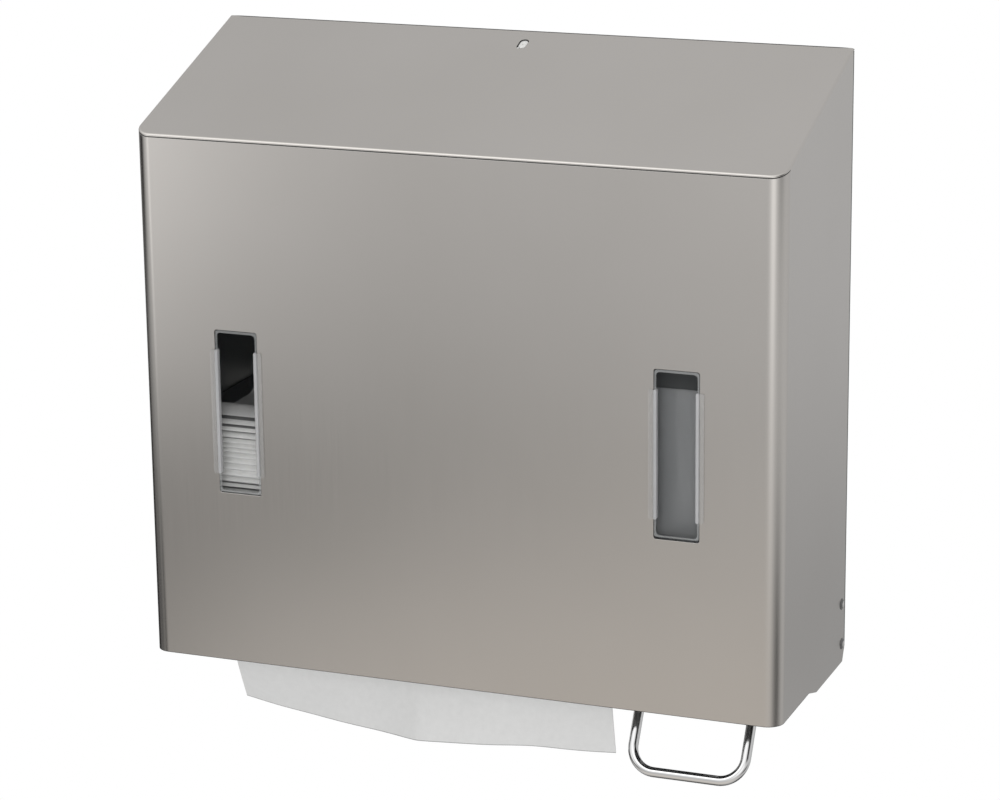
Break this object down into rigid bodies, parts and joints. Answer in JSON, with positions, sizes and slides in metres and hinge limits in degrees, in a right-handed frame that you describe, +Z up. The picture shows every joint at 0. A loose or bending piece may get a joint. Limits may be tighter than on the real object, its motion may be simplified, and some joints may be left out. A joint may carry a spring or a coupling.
{
  "type": "soap and towel dispenser",
  "caption": "Wall-mounted steel dispenser with a tilting sloped hood, a slot for folded paper towels and a wire push lever that works a soap pump.",
  "frame": {"origin": "on the wall, in the middle of the four wall screw holes", "axes": "+Z up, +Y into the wall, +X to the user's right"},
  "size_m": [0.4028, 0.1403, 0.4283],
  "materials": {
    "hood_steel": "satin stainless steel",
    "inner_steel": "plain stainless sheet",
    "pin_steel": "turned steel",
    "bright_wire": "polished wire",
    "rivet_metal": "plain",
    "clear_plastic": "clear moulded",
    "white_plastic": "moulded",
    "grey_plastic": "moulded",
    "bottle_plastic": "cloudy moulded",
    "liquid_soap": "liquid",
    "seal_rubber": "moulded",
    "towel_paper": "soft uncoated"
  },
  "bodies": {
    "frame": {"back_plate": "inner_steel", "catch_bracket": "inner_steel", "bracket_rivets": "rivet_metal", "catch_pin": "pin_steel", "catch_spring": "pin_steel", "towel_floor": "inner_steel", "towel_guide": "inner_steel", "divider": "inner_steel", "panel_rivets": "rivet_metal", "towel_stack": "towel_paper", "pump_carrier": "inner_steel", "carrier_nuts": "pin_steel", "soap_bottle": "bottle_plastic", "soap_fill": "liquid_soap", "pump_cap": "white_plastic", "neck_gasket": "seal_rubber", "pump_cylinder": "white_plastic", "stem_guide": "white_plastic", "valve_cage": "white_plastic", "pump_spring": "pin_steel", "lever_axle": "pin_steel", "axle_washers": "white_plastic", "axle_clips": "pin_steel"},
    "hood": {"hood_wrap": "hood_steel", "hood_top": "hood_steel", "towel_window": "clear_plastic", "soap_window": "clear_plastic", "hinge_pins": "pin_steel", "stop_pins": "pin_steel", "hinge_washers": "white_plastic"},
    "lever": {"lever_rocker": "grey_plastic", "lever_wire": "bright_wire"},
    "piston": {"piston_stem": "white_plastic", "piston_ring": "seal_rubber", "drip_valve": "seal_rubber", "nozzle_tip": "white_plastic"},
    "ball": {"inlet_ball": "pin_steel"},
    "catch": {"lock_catch": "white_plastic"},
    "towel": {"towel_sheet": "towel_paper"}
  },
  "joints": [
    {"name": "hood_tilt", "type": "hinge", "parent": "frame", "child": "hood", "pos_m": [0, -0.0072, -0.1887], "axis": [1, 0, 0], "range_deg": [0, 27]},
    {"name": "lever_push", "type": "hinge", "parent": "frame", "child": "lever", "pos_m": [0.1375, -0.112, -0.16], "axis": [1, 0, 0], "range_deg": [0, 16], "stiffness_Nm_per_rad": 2.7, "springref_deg": -8.59},
    {"name": "piston_lift", "type": "slide", "parent": "frame", "child": "piston", "axis": [0, 0, 1], "range_m": [0, 0.0115], "deforming": ["pump_spring"]},
    {"name": "ball_float", "type": "slide", "parent": "frame", "child": "ball", "axis": [0, 0, 1], "range_m": [0, 0.0012]},
    {"name": "catch_turn", "type": "hinge", "parent": "frame", "child": "catch", "pos_m": [0, -0.03, 0.15803], "axis": [1, 0, 0], "range_deg": [0, 12.4], "deforming": ["catch_spring"]},
    {"name": "towel_pull", "type": "slide", "parent": "frame", "child": "towel", "axis": [0, 0, -1], "range_m": [0, 0.1]}
  ],
  "couplings": [
    {"joint": "piston_lift", "follows": "lever_push", "m_per_rad": 0.041}
  ]
}
